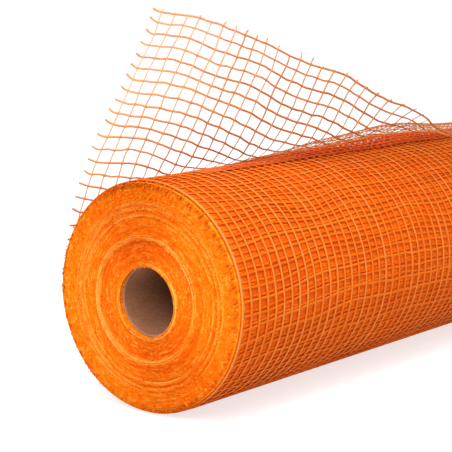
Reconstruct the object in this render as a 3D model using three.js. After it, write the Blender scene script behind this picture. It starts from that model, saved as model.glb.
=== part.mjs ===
import * as THREE from 'three';

// Lengths are in millimetres. The roll lies along X on the plane Z = 0, with its near end at -X.
const SHEET_WIDTH = 1000;       // width of the mesh, which is the length of the roll
const ROLL_RADIUS = 89.2;       // outside of the wound turns, at the corners of its sides
const ROLL_SIDES = 72;
const BORE_RADIUS = 27.5;       // hole through the wound turns
const END_INSET = 4.0;          // how far the outermost turns stand back from the full radius at the cut ends
const END_LENGTH = 9;           // length of that slope
const CORE_OUTER_RADIUS = 27.2;
const CORE_INNER_RADIUS = 25.8;
const CORE_LENGTH = 990;
const CORE_SIDES = 48;
const CORE_DROP = 3.0;          // how far the core lies below the middle of the outer turns
const SHEET_THICKNESS = 1.0;    // the free end, over the knots of its yarns
const SHEET_CLEARANCE = 0.7;    // gap from the wound turns to the free end lying on them
const CELL = 10;                // one cell of the mesh
const FREE_CELLS_DOWN = 21;     // cells of the free end from its cut edge to where it joins the roll
const SHEET_STEPS_LIFTED = 48;  // steps across the part that stands off the roll
const SHEET_STEPS_LAID = 6;     // steps across the part that lies on it
const SHEET_STEPS_DOWN = 24;

// Each pair is a radius and how far the turns there stand in from the end plane.
const END_RINGS = [
  [30.0, 0.3], [31.5, 1.6], [35.5, 1.6], [37.5, 0.9], [39.0, 3.2], [45.5, 3.2], [46.8, 0.0],
  [51.8, 0.0], [53.0, 0.8], [61.0, 0.8], [61.8, 2.6], [63.2, 2.6], [64.2, 0.3], [67.5, 0.3],
  [68.5, 0.9], [71.6, 0.9], [72.2, 2.6], [73.4, 2.6], [74.4, 0.6], [82.0, 0.9],
];

// The last turn is a smooth surface over these points: rows run along the roll from its near end,
// and the points of a row run from the cut edge down to the back of the roll. They are measured
// from the middle of the roll's near end. Past them the turn lies on the roll at LAID_RADIUS.
const LAID_RADIUS = 90.4;
const BLEND_CELLS = 6;
const SELVAGE_CELLS = 0.5;      // from the tips of the cross yarns to the first yarn along the sheet
const NET_CELLS_ACROSS = 64;
const NET_CELLS_DOWN = 22;
const NET = [
  [[81.2, 109.7, 255.3], [67.7, 114.0, 217.1], [51.1, 116.5, 178.9], [24.0, 112.6, 141.4], [-12.7, 104.0, 110.6], [-40.3, 94.6, 83.6], [-50.6, 87.8, 48.3], [-54.2, 89.6, 7.4], [-56.5, 92.5, -33.0]],
  [[112.7, 63.6, 243.3], [93.7, 60.3, 213.7], [73.3, 64.2, 181.1], [49.9, 63.4, 149.1], [25.8, 64.2, 122.7], [15.3, 66.9, 81.8], [9.0, 81.5, 42.0], [4.9, 92.5, 2.6], [3.2, 92.4, -33.4]],
  [[146.0, 21.4, 228.5], [124.6, 11.9, 197.9], [99.4, 9.4, 168.5], [79.0, 12.9, 139.8], [77.5, 22.6, 99.4], [74.5, 52.3, 68.7], [66.4, 84.7, 41.2], [62.8, 92.4, 1.9], [62.2, 90.6, -34.1]],
  [[182.8, -20.9, 207.1], [162.8, -19.3, 171.5], [137.3, -22.6, 145.3], [130.3, -12.9, 104.6], [135.2, 21.4, 80.3], [129.1, 63.7, 74.6], [124.6, 85.0, 39.3], [120.9, 91.8, 1.4], [120.6, 90.2, -35.4]],
  [[220.6, -72.7, 182.3], [199.7, -56.0, 157.2], [190.4, -48.3, 120.5], [192.0, -16.6, 89.9], [188.5, 28.8, 95.8], [186.3, 60.6, 72.1], [182.5, 84.2, 38.5], [179.0, 92.8, 1.6], [178.9, 90.0, -35.8]],
  [[263.0, -114.4, 144.7], [251.2, -91.9, 119.3], [247.4, -50.5, 97.5], [247.1, -7.5, 103.1], [245.1, 30.6, 97.9], [243.3, 62.4, 71.1], [240.0, 85.2, 39.3], [237.3, 92.3, 0.8], [237.3, 89.7, -35.7]],
  [[311.1, -116.3, 106.9], [307.5, -75.7, 104.9], [304.3, -37.5, 108.0], [303.0, -0.8, 109.2], [302.0, 36.6, 94.8], [300.5, 65.5, 70.0], [297.9, 85.7, 36.6], [295.4, 92.3, 0.1], [295.6, 90.2, -36.2]],
  [[360.9, -103.1, 75.8], [361.4, -66.5, 91.0], [360.9, -32.4, 107.1], [359.8, 6.3, 110.6], [358.9, 41.4, 96.2], [358.0, 68.5, 69.9], [355.8, 86.6, 36.4], [353.6, 91.8, -0.1], [353.9, 90.6, -36.7]],
  [[413.0, -91.7, 52.6], [414.3, -62.4, 73.7], [415.6, -32.9, 96.4], [415.3, 4.1, 104.9], [414.8, 40.1, 92.7], [414.3, 67.8, 68.0], [413.1, 86.7, 35.9], [412.0, 91.9, -0.6], [412.2, 90.4, -36.9]],
  [[469.2, -87.4, 40.6], [470.3, -65.0, 67.7], [470.4, -37.2, 94.1], [470.4, 2.0, 103.5], [470.4, 39.6, 90.6], [470.4, 67.2, 65.5], [470.4, 86.5, 35.0], [470.4, 92.2, -0.9], [470.5, 89.9, -37.1]],
  [[527.4, -87.8, 36.7], [528.8, -66.3, 66.8], [528.9, -37.6, 91.0], [528.8, 0.1, 100.5], [528.8, 37.4, 90.4], [528.7, 66.3, 66.8], [528.7, 86.2, 35.8], [528.6, 92.3, -0.5], [528.7, 89.4, -36.9]],
  [[585.9, -90.5, 33.4], [586.7, -68.7, 61.8], [586.8, -40.0, 85.9], [586.7, -3.1, 95.4], [586.8, 34.1, 88.2], [586.8, 64.7, 67.0], [586.8, 85.9, 36.3], [586.8, 92.2, -0.3], [586.9, 89.6, -36.6]],
  [[644.5, -94.3, 32.5], [645.0, -70.2, 59.1], [645.0, -41.7, 82.9], [645.0, -5.4, 92.0], [645.0, 31.6, 86.9], [645.0, 63.8, 67.6], [645.0, 85.8, 36.8], [645.0, 92.0, -0.1], [645.0, 92.4, -36.2]],
  [[703.0, -99.3, 35.1], [703.0, -70.8, 61.1], [703.0, -39.9, 83.0], [703.0, -4.2, 92.5], [703.0, 32.1, 87.1], [703.1, 63.2, 67.4], [703.1, 83.8, 37.0], [703.1, 93.2, 1.3], [703.0, 98.3, -35.2]],
];

const meshMaterial = new THREE.MeshStandardMaterial({ color: 0xd9764a, roughness: 0.75, metalness: 0 });
meshMaterial.name = 'glass_mesh';
const boardMaterial = new THREE.MeshStandardMaterial({ color: 0x8a6a56, roughness: 0.9, metalness: 0 });
boardMaterial.name = 'core_board';

const AXIS_HEIGHT = ROLL_RADIUS * Math.cos(Math.PI / ROLL_SIDES);

// The turns above the core are a little thicker together than the turns below it.
function drop(r) {
  return CORE_DROP * Math.min(1, (ROLL_RADIUS - r) / (ROLL_RADIUS - CORE_OUTER_RADIUS));
}

// A solid turned about X from a closed outline of [x, radius] points that runs from low x to high x
// on the outside and back along the bore.
function turned(outline, sides) {
  const n = outline.length;
  const pos = [];
  const idx = [];
  for (let k = 0; k < sides; k++) {
    const a = -Math.PI / 2 + (k + 0.5) * 2 * Math.PI / sides;
    for (const [x, r] of outline) pos.push(x, r * Math.cos(a), AXIS_HEIGHT - drop(r) + r * Math.sin(a));
  }
  for (let k = 0; k < sides; k++) {
    const k2 = (k + 1) % sides;
    for (let i = 0; i < n; i++) {
      const j = (i + 1) % n;
      const a = k * n + i, b = k * n + j, c = k2 * n + j, d = k2 * n + i;
      idx.push(a, c, b, a, d, c);
    }
  }
  const g = new THREE.BufferGeometry();
  g.setAttribute('position', new THREE.Float32BufferAttribute(pos, 3));
  g.setIndex(idx);
  g.computeVertexNormals();
  return g;
}

function bsplineWeights(t, total, count) {
  const s = t / total * (count - 3);
  const k = Math.min(Math.max(Math.floor(s), 0), count - 4);
  const w = s - k;
  return [k, [(1 - w) ** 3 / 6, (3 * w ** 3 - 6 * w * w + 4) / 6, (-3 * w ** 3 + 3 * w * w + 3 * w + 1) / 6, w ** 3 / 6]];
}

function netPoint(u, v) {
  const [ku, bu] = bsplineWeights(u, NET_CELLS_ACROSS, NET.length);
  const [kv, bv] = bsplineWeights(v, NET_CELLS_DOWN, NET[0].length);
  const p = new THREE.Vector3();
  for (let a = 0; a < 4; a++) {
    for (let b = 0; b < 4; b++) {
      const q = NET[ku + a][kv + b];
      const w = bu[a] * bv[b];
      p.x += w * q[0]; p.y += w * q[1]; p.z += w * q[2];
    }
  }
  return p;
}

// A point of the last turn, u cells from the near edge of the sheet and v cells from its cut end.
function sheetPoint(u, v) {
  const a = (NET_CELLS_DOWN - v) * CELL / LAID_RADIUS;
  const laid = new THREE.Vector3((u + SELVAGE_CELLS) * CELL, LAID_RADIUS * Math.cos(a), LAID_RADIUS * Math.sin(a));
  if (u >= NET_CELLS_ACROSS) return laid;
  const t = Math.max(0, (u - NET_CELLS_ACROSS + BLEND_CELLS) / BLEND_CELLS);
  return netPoint(u, v).lerp(laid, t * t * (3 - 2 * t));
}

// Moves a point straight out from the roll's axis until it is at least this far from it.
function keepClear(p, radius) {
  const r = Math.hypot(p.y, p.z);
  if (r < radius) { p.y *= radius / r; p.z *= radius / r; }
  return p;
}

function freeEnd() {
  const across = [];
  for (let i = 0; i < SHEET_STEPS_LIFTED; i++) {
    across.push(-SELVAGE_CELLS + (NET_CELLS_ACROSS + SELVAGE_CELLS) * i / SHEET_STEPS_LIFTED);
  }
  for (let i = 0; i <= SHEET_STEPS_LAID; i++) {
    across.push(NET_CELLS_ACROSS + (SHEET_WIDTH / CELL - SELVAGE_CELLS - 0.1 - NET_CELLS_ACROSS) * i / SHEET_STEPS_LAID);
  }
  const nu = across.length - 1, nv = SHEET_STEPS_DOWN;
  const layers = [[], []];
  for (let i = 0; i <= nu; i++) {
    for (let j = 0; j <= nv; j++) {
      const u = across[i], v = FREE_CELLS_DOWN * j / nv;
      const p = sheetPoint(u, v);
      const du = sheetPoint(u + 0.2, v).sub(sheetPoint(u - 0.2, v));
      const dv = sheetPoint(u, v + 0.2).sub(sheetPoint(u, v - 0.2));
      const n = du.cross(dv).normalize();
      const inner = ROLL_RADIUS + SHEET_CLEARANCE;
      keepClear(p, inner + SHEET_THICKNESS / 2);
      for (let s = 0; s < 2; s++) {
        const q = p.clone().addScaledVector(n, (s ? 1 : -1) * SHEET_THICKNESS / 2);
        keepClear(q, inner);
        layers[s].push(q.x - SHEET_WIDTH / 2, q.y, q.z + AXIS_HEIGHT);
      }
    }
  }
  const half = (nu + 1) * (nv + 1);
  const at = (i, j, s) => s * half + i * (nv + 1) + j;
  const idx = [];
  const quad = (a, b, c, d) => idx.push(a, b, c, a, c, d);
  for (let i = 0; i < nu; i++) {
    for (let j = 0; j < nv; j++) {
      quad(at(i, j, 1), at(i + 1, j, 1), at(i + 1, j + 1, 1), at(i, j + 1, 1));
      quad(at(i, j, 0), at(i, j + 1, 0), at(i + 1, j + 1, 0), at(i + 1, j, 0));
    }
  }
  for (let i = 0; i < nu; i++) {
    quad(at(i, 0, 0), at(i + 1, 0, 0), at(i + 1, 0, 1), at(i, 0, 1));
    quad(at(i, nv, 1), at(i + 1, nv, 1), at(i + 1, nv, 0), at(i, nv, 0));
  }
  for (let j = 0; j < nv; j++) {
    quad(at(0, j, 1), at(0, j + 1, 1), at(0, j + 1, 0), at(0, j, 0));
    quad(at(nu, j, 0), at(nu, j + 1, 0), at(nu, j + 1, 1), at(nu, j, 1));
  }
  const g = new THREE.BufferGeometry();
  g.setAttribute('position', new THREE.Float32BufferAttribute([...layers[0], ...layers[1]], 3));
  g.setIndex(idx);
  g.computeVertexNormals();
  return g;
}

function rollOutline() {
  const h = SHEET_WIDTH / 2;
  const near = [[-h + 0.6, BORE_RADIUS], ...END_RINGS.map(([r, d]) => [-h + d, r]), [-h + 1.4, ROLL_RADIUS - END_INSET], [-h + END_LENGTH, ROLL_RADIUS]];
  const far = near.map(([x, r]) => [-x, r]).reverse();
  return [...near, ...far];
}

const group = new THREE.Group();
group.name = 'roll_of_fiberglass_mesh';

function add(name, geometry, material) {
  const m = new THREE.Mesh(geometry, material);
  m.name = name;
  group.add(m);
}

add('mesh_roll', turned(rollOutline(), ROLL_SIDES), meshMaterial);
add('core_tube', turned([
  [-CORE_LENGTH / 2, CORE_INNER_RADIUS], [-CORE_LENGTH / 2, CORE_OUTER_RADIUS],
  [CORE_LENGTH / 2, CORE_OUTER_RADIUS], [CORE_LENGTH / 2, CORE_INNER_RADIUS],
], CORE_SIDES), boardMaterial);
add('mesh_free_end', freeEnd(), meshMaterial);

export default group;
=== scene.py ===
import bpy
import math
import numpy as np
from mathutils import Matrix, Vector


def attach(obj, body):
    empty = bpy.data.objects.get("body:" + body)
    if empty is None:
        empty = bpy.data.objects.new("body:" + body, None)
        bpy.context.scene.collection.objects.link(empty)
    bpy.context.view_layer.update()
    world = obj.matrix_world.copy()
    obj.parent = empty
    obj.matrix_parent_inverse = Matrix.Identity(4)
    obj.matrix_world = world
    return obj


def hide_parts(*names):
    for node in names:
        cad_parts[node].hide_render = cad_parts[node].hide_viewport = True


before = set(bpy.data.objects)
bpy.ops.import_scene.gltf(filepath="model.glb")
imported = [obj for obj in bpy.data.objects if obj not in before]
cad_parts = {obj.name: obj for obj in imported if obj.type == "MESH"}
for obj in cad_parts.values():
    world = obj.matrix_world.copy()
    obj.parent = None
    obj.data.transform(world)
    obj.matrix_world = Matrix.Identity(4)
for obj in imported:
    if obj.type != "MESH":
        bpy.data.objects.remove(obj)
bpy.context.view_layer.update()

CELL = 0.010
HALF = 0.5
AXIS_Z = 0.0892 * math.cos(math.pi / 72)
R_OUT = 0.08875            # middle of the outermost yarns of the wound turns
TURN = 0.00044             # from one turn to the next
R_CORE = 0.0277
FACE_R = 0.0892
SELVAGE = 0.495            # first and last yarn along the sheet, from the middle
LAID_R = 0.0904


# ------------------------------------------------------------------ helpers
def lin(r, g, b, k=1.0):
    out = []
    for c in (r, g, b):
        c = c / 255
        out.append(k * (c / 12.92 if c <= 0.04045 else ((c + 0.055) / 1.055) ** 2.4))
    return (*out, 1.0)


def unit(v):
    return v / np.maximum(np.linalg.norm(v, axis=-1, keepdims=True), 1e-12)


class Batch:
    """Collects strands and faces, and makes one mesh of them."""

    def __init__(self):
        self.v, self.q, self.t, self.uvq, self.uvt, self.tone, self.mq, self.mt, self.n = [], [], [], [], [], [], [], [], 0

    def add(self, verts, quads=None, tris=None, uvq=None, uvt=None, tone=0.5, mat=0):
        k = len(verts)
        self.v.append(verts)
        if quads is not None and len(quads):
            self.q.append(quads + self.n)
            self.uvq.append(np.zeros((len(quads), 4, 2)) if uvq is None else uvq)
            self.mq.append(np.full(len(quads), mat))
        if tris is not None and len(tris):
            self.t.append(tris + self.n)
            self.uvt.append(np.zeros((len(tris), 3, 2)) if uvt is None else uvt)
            self.mt.append(np.full(len(tris), mat))
        self.tone.append(np.broadcast_to(np.asarray(tone, float), (k,)).copy())
        self.n += k

    def strands(self, P, N, a, b, sides=4, closed=False, tone=None, turn=0.0, mat=0):
        n, m, _ = P.shape
        if closed:
            T = np.roll(P, -1, 1) - np.roll(P, 1, 1)
        else:
            T = np.empty_like(P)
            T[:, 1:-1] = P[:, 2:] - P[:, :-2]
            T[:, 0] = P[:, 1] - P[:, 0]
            T[:, -1] = P[:, -1] - P[:, -2]
        T = unit(T)
        N = unit(N - T * (N * T).sum(-1, keepdims=True))
        S = np.cross(N, T)
        ang = 2 * np.pi * np.arange(sides) / sides + turn
        a = np.broadcast_to(np.asarray(a, float), (n, m))
        b = np.broadcast_to(np.asarray(b, float), (n, m))
        V = (P[:, :, None]
             + S[:, :, None] * (a[..., None] * np.cos(ang))[..., None]
             + N[:, :, None] * (b[..., None] * np.sin(ang))[..., None])
        base = np.arange(n * m).reshape(n, m) * sides
        i0, i1 = (base, np.roll(base, -1, 1)) if closed else (base[:, :-1], base[:, 1:])
        c = np.arange(sides)
        c2 = (c + 1) % sides
        quads = np.stack([i0[..., None] + c, i0[..., None] + c2, i1[..., None] + c2, i1[..., None] + c], -1).reshape(-1, 4)
        seg = np.linalg.norm(np.diff(P, axis=1), axis=-1)
        s = np.concatenate([np.zeros((n, 1)), np.cumsum(seg, 1)], 1)
        if closed:
            s = np.concatenate([s, s[:, -1:] + seg[:, :1]], 1)
        s0, s1 = s[:, :-1, None] + 0 * c, s[:, 1:, None] + 0 * c
        w0, w1 = (c / sides) + 0 * s0, ((c + 1) / sides) + 0 * s0
        uv = np.stack([np.stack([s0, w0], -1), np.stack([s0, w1], -1), np.stack([s1, w1], -1), np.stack([s1, w0], -1)], -2).reshape(-1, 4, 2)
        uv[..., 0] *= 100
        tone = np.full(n, 0.5) if tone is None else np.asarray(tone, float)
        tone = np.broadcast_to(tone.reshape(n, -1, 1), (n, m, sides)) if tone.size in (n, n * m) else tone
        tris = None
        if not closed:
            if sides == 4:
                caps = np.concatenate([base[:, 0, None] + c[::-1], base[:, -1, None] + c])
                quads = np.concatenate([quads, caps])
                uv = np.concatenate([uv, np.zeros((len(caps), 4, 2))])
            elif sides == 3:
                tris = np.concatenate([base[:, 0, None] + c[::-1], base[:, -1, None] + c])
            else:
                tris = np.concatenate([np.stack([base[:, 0] + 0 * k, base[:, 0] + k + 1, base[:, 0] + k], -1) for k in range(1, sides - 1)]
                                      + [np.stack([base[:, -1] + 0 * k, base[:, -1] + k, base[:, -1] + k + 1], -1) for k in range(1, sides - 1)])
        self.add(V.reshape(-1, 3), quads, tris, uv, None, tone.reshape(-1), mat)

    def make(self, name, *materials, smooth=True):
        V = np.concatenate(self.v)
        faces = (np.concatenate(self.q).tolist() if self.q else []) + (np.concatenate(self.t).tolist() if self.t else [])
        me = bpy.data.meshes.new(name)
        me.from_pydata(V.tolist(), [], faces)
        uv = np.concatenate([np.concatenate(self.uvq).reshape(-1, 2) if self.uvq else np.zeros((0, 2)),
                             np.concatenate(self.uvt).reshape(-1, 2) if self.uvt else np.zeros((0, 2))])
        layer = me.uv_layers.new(name="yarn")
        layer.data.foreach_set("uv", uv.astype(np.float32).ravel())
        at = me.attributes.new("tone", "FLOAT", "POINT")
        at.data.foreach_set("value", np.concatenate(self.tone).astype(np.float32))
        me.polygons.foreach_set("use_smooth", np.full(len(me.polygons), smooth))
        for material in materials:
            me.materials.append(material)
        me.polygons.foreach_set("material_index", np.concatenate(self.mq + self.mt).astype(np.int32))
        me.update()
        ob = bpy.data.objects.new(name, me)
        bpy.context.scene.collection.objects.link(ob)
        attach(ob, "root")
        return ob


def waves(rng, amp, lx, ls, k=6):
    """A smooth random function of two lengths, in metres, with wavelengths about lx and ls."""
    fx = rng.uniform(0.5, 1.5, k) / lx * rng.choice([-1, 1], k)
    fs = rng.uniform(0.4, 1.4, k) / ls
    ph = rng.uniform(0, 2 * np.pi, k)
    am = amp * rng.uniform(0.5, 1.0, k) / math.sqrt(k) * 1.6
    return lambda x, s: sum(am[i] * np.sin(2 * np.pi * (x * fx[i] + s * fs[i]) + ph[i]) for i in range(k))


# ------------------------------------------------------------------ materials
def new_mat(name):
    m = bpy.data.materials.new(name)
    m.use_nodes = True
    nt = m.node_tree
    nt.nodes.clear()
    out = nt.nodes.new("ShaderNodeOutputMaterial")
    b = nt.nodes.new("ShaderNodeBsdfPrincipled")
    nt.links.new(b.outputs[0], out.inputs[0])
    return m, nt, b, out


def math_node(nt, op, a, b=None, c=None):
    n = nt.nodes.new("ShaderNodeMath")
    n.operation = op
    for i, v in enumerate((a, b, c)):
        if v is None:
            continue
        if isinstance(v, (int, float)):
            n.inputs[i].default_value = v
        else:
            nt.links.new(v, n.inputs[i])
    return n.outputs[0]


def mix_col(nt, fac, a, b, mode="MIX"):
    n = nt.nodes.new("ShaderNodeMix")
    n.data_type = "RGBA"
    n.blend_type = mode
    for sock, v in ((n.inputs[0], fac), (n.inputs[6], a), (n.inputs[7], b)):
        if isinstance(v, (int, float)):
            sock.default_value = v
        elif isinstance(v, tuple):
            sock.default_value = v
        else:
            nt.links.new(v, sock)
    return n.outputs[2]


def ramp(nt, fac, stops):
    n = nt.nodes.new("ShaderNodeValToRGB")
    els = n.color_ramp.elements
    while len(els) < len(stops):
        els.new(0.5)
    for e, (p, col) in zip(els, stops):
        e.position = p
    for e, (p, col) in zip(els, stops):
        e.color = col
    nt.links.new(fac, n.inputs[0])
    return n.outputs[0]


def noise(nt, vec, scale, detail=3, rough=0.55):
    n = nt.nodes.new("ShaderNodeTexNoise")
    n.inputs["Scale"].default_value = scale
    n.inputs["Detail"].default_value = detail
    n.inputs["Roughness"].default_value = rough
    nt.links.new(vec, n.inputs["Vector"])
    return n.outputs["Fac"]


def mapping(nt, vec, scale=(1, 1, 1), loc=(0, 0, 0)):
    n = nt.nodes.new("ShaderNodeMapping")
    n.inputs["Scale"].default_value = scale
    n.inputs["Location"].default_value = loc
    nt.links.new(vec, n.inputs["Vector"])
    return n.outputs[0]


def bump(nt, bsdf, height, strength, dist):
    n = nt.nodes.new("ShaderNodeBump")
    n.inputs["Strength"].default_value = strength
    n.inputs["Distance"].default_value = dist
    nt.links.new(height, n.inputs["Height"])
    nt.links.new(n.outputs[0], bsdf.inputs["Normal"])


def obj_coord(nt):
    return nt.nodes.new("ShaderNodeTexCoord").outputs["Object"]


def attr(nt, name):
    n = nt.nodes.new("ShaderNodeAttribute")
    n.attribute_name = name
    return n.outputs["Fac"]


def radius_of(nt, co, lower=0.0):
    sep = nt.nodes.new("ShaderNodeSeparateXYZ")
    nt.links.new(co, sep.inputs[0])
    z = math_node(nt, "SUBTRACT", sep.outputs[2], AXIS_Z - lower)
    r = math_node(nt, "SQRT", math_node(nt, "ADD", math_node(nt, "MULTIPLY", sep.outputs[1], sep.outputs[1]), math_node(nt, "MULTIPLY", z, z)))
    return sep, z, r


def yarn_material(name, dark, mid, light, rough=0.5, through=0.0, through_col=None, spec=0.35, spots=0.5):
    """Coated glass yarn: filaments along it, a coating that pools lighter and darker, and a little light through it."""
    m, nt, b, out = new_mat(name)
    co = obj_coord(nt)
    uv = nt.nodes.new("ShaderNodeUVMap")
    uv.uv_map = "yarn"
    fil = noise(nt, mapping(nt, uv.outputs[0], (3.0, 22.0, 1.0)), 2.2, 3, 0.6)
    blot = noise(nt, co, 420.0, 3, 0.6)
    broad = noise(nt, co, 38.0, 2, 0.5)
    t = attr(nt, "tone")
    f = math_node(nt, "ADD", math_node(nt, "MULTIPLY", fil, 0.35), math_node(nt, "MULTIPLY", blot, spots))
    f = math_node(nt, "ADD", f, math_node(nt, "MULTIPLY", broad, 0.25))
    f = math_node(nt, "ADD", f, math_node(nt, "MULTIPLY", math_node(nt, "SUBTRACT", t, 0.5), 0.9))
    f = math_node(nt, "SUBTRACT", f, (0.35 + spots + 0.25) / 2 - 0.5)
    col = ramp(nt, f, [(0.18, dark), (0.5, mid), (0.82, light)])
    nt.links.new(col, b.inputs["Base Color"])
    b.inputs["Roughness"].default_value = rough
    b.inputs["Specular IOR Level"].default_value = spec
    bump(nt, b, fil, 0.2, 0.00004)
    if through > 0:
        tr = nt.nodes.new("ShaderNodeBsdfTranslucent")
        if through_col is None:
            nt.links.new(col, tr.inputs[0])
        else:
            tr.inputs[0].default_value = through_col
        mx = nt.nodes.new("ShaderNodeMixShader")
        mx.inputs[0].default_value = through
        nt.links.new(b.outputs[0], mx.inputs[1])
        nt.links.new(tr.outputs[0], mx.inputs[2])
        nt.links.new(mx.outputs[0], out.inputs[0])
    return m


K = 0.88      # how bright the yarns are under the white surroundings
MAT_WARP = yarn_material("yarn_along", lin(242, 106, 14, K), lin(255, 130, 30, K), lin(255, 168, 84, K), 0.5, 0.36, spec=0.08)
MAT_WEFT = yarn_material("yarn_across", lin(240, 98, 2, K), lin(252, 119, 8, K), lin(255, 140, 28, K), 0.55, 0.42, spec=0.06)
# the lower turns' yarns take a slightly darker, redder copy of the yarn colours: painted shade, for lying deeper in the
# stack
MAT_DEEP = yarn_material("yarn_below", lin(238, 94, 2, K), lin(250, 110, 6, K), lin(255, 126, 16, K), 0.6, 0.46, spec=0.05)
MAT_FREE_A = yarn_material("free_yarn_along", lin(184, 104, 50, 0.86), lin(214, 140, 84, 0.86), lin(240, 186, 142, 0.86), 0.5, 0.2, spec=0.12, spots=0.6)
MAT_FREE_B = yarn_material("free_yarn_across", lin(164, 84, 28, 0.86), lin(198, 112, 48, 0.86), lin(228, 150, 90, 0.86), 0.5, 0.15, spec=0.12, spots=0.6)
MAT_KNOT = yarn_material("free_crossings", lin(192, 100, 32, 0.86), lin(220, 124, 48, 0.86), lin(238, 154, 84, 0.86), 0.5, 0.2, spec=0.12, spots=0.6)
# the three inner slack turns get pale beige yarn colours: painted sheen, and painted light lifting the shade they lie
# in under the last turn
MAT_SLACK = yarn_material("slack_yarns", lin(238, 136, 62), lin(249, 158, 90), lin(254, 184, 124), 0.45, 0.7, spec=0.3, spots=0.4)
MAT_SLACK_O = yarn_material("slack_yarns_outer", lin(240, 118, 30), lin(250, 136, 46), lin(255, 160, 74), 0.45, 0.65, spec=0.2, spots=0.4)


def turn_radius(nt, co):
    """Radius and direction about the middle that the turns of that radius have: the inner ones lie lower."""
    sep, z0, r0 = radius_of(nt, co, 0.0017)
    t = math_node(nt, "MAXIMUM", math_node(nt, "SUBTRACT", 1.0, math_node(nt, "DIVIDE", math_node(nt, "SUBTRACT", r0, 0.0272), FACE_R - 0.0272)), 0.0)
    low = math_node(nt, "MULTIPLY_ADD", t, 0.0028, 0.0003)
    g = math_node(nt, "DIVIDE", math_node(nt, "SUBTRACT", r0, 0.0485), 0.006)
    side = math_node(nt, "MULTIPLY", math_node(nt, "EXPONENT", math_node(nt, "MULTIPLY", math_node(nt, "MULTIPLY", g, g), -1.0)), 0.0012)
    y = math_node(nt, "SUBTRACT", sep.outputs[1], side)
    z = math_node(nt, "ADD", math_node(nt, "SUBTRACT", sep.outputs[2], AXIS_Z), low)
    r = math_node(nt, "SQRT", math_node(nt, "ADD", math_node(nt, "MULTIPLY", y, y), math_node(nt, "MULTIPLY", z, z)))
    return r, math_node(nt, "DIVIDE", y, r), math_node(nt, "DIVIDE", z, r)


def vector(nt, x, y, z):
    n = nt.nodes.new("ShaderNodeCombineXYZ")
    for i, v in enumerate((x, y, z)):
        nt.links.new(v, n.inputs[i])
    return n.outputs[0]


def clamped(nt, v, start, gain, top):
    v = math_node(nt, "MULTIPLY", math_node(nt, "SUBTRACT", v, start), gain)
    return math_node(nt, "MINIMUM", math_node(nt, "MAXIMUM", v, 0.0), top)


def end_material(name, k):
    """The cut end of the turns: rings of turns that stand in or out, in lighter and deeper orange."""
    m, nt, b, out = new_mat(name)
    co = obj_coord(nt)
    r, cy, cz = turn_radius(nt, co)
    wob = noise(nt, co, 30.0, 2, 0.5)
    rr = math_node(nt, "ADD", math_node(nt, "DIVIDE", r, FACE_R), math_node(nt, "MULTIPLY", math_node(nt, "SUBTRACT", wob, 0.5), 0.02))
    L, B_, D, X = lin(255, 170, 54, k), lin(252, 132, 2, k), lin(252, 118, 2, k), lin(244, 110, 0, k)

    def rings(pale):
        return ramp(nt, rr, [(0.305, B_), (0.325, pale), (0.338, B_), (0.37, D), (0.395, B_), (0.42, D), (0.50, D), (0.525, pale), (0.534, B_), (0.545, pale), (0.558, B_), (0.60, D),
                             (0.64, B_), (0.69, B_), (0.702, X), (0.713, pale), (0.735, B_), (0.75, X), (0.765, pale), (0.785, B_), (0.80, X), (0.812, pale), (0.83, B_), (1.0, B_)])
    patch = clamped(nt, noise(nt, co, 34.0, 2, 0.5), 0.36, 4.0, 1.0)
    col = mix_col(nt, patch, rings(B_), rings(L))
    along = noise(nt, vector(nt, math_node(nt, "MULTIPLY", cy, 7.0), math_node(nt, "MULTIPLY", cz, 7.0), math_node(nt, "MULTIPLY", r, 620.0)), 1.0, 3, 0.6)
    specks = noise(nt, co, 300.0, 2, 0.6)
    fuzzy = clamped(nt, rr, 0.80, 14.0, 0.9)
    f = math_node(nt, "ADD", math_node(nt, "MULTIPLY", along, math_node(nt, "SUBTRACT", 1.0, fuzzy)), math_node(nt, "MULTIPLY", specks, fuzzy))
    grain = noise(nt, co, 560.0, 2, 0.6)
    f = math_node(nt, "ADD", f, math_node(nt, "MULTIPLY", math_node(nt, "SUBTRACT", grain, 0.5), 0.45))
    t = attr(nt, "tone")
    f = math_node(nt, "ADD", f, math_node(nt, "MULTIPLY", math_node(nt, "SUBTRACT", t, 0.5), 0.16))
    red = clamped(nt, math_node(nt, "SUBTRACT", 1.0, f), 0.53, 6.5, 0.9)
    col = mix_col(nt, red, col, lin(242, 94, 0, k))
    pale_ = clamped(nt, f, 0.56, 6.0, 0.75)
    col = mix_col(nt, pale_, col, lin(255, 174, 62, k))
    # a tone above 1 turns the colour pale peach: painted highlight along the brightest rings
    col = mix_col(nt, clamped(nt, t, 1.0, 1.3, 0.9), col, lin(255, 196, 110, k))
    nt.links.new(col, b.inputs["Base Color"])
    b.inputs["Roughness"].default_value = 0.6
    b.inputs["Specular IOR Level"].default_value = 0.08
    tr = nt.nodes.new("ShaderNodeBsdfTranslucent")
    nt.links.new(col, tr.inputs[0])
    mx = nt.nodes.new("ShaderNodeMixShader")
    mx.inputs[0].default_value = 0.2
    nt.links.new(b.outputs[0], mx.inputs[1])
    nt.links.new(tr.outputs[0], mx.inputs[2])
    nt.links.new(mx.outputs[0], out.inputs[0])
    return m


MAT_END = end_material("cut_end_yarns", 0.98)


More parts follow.
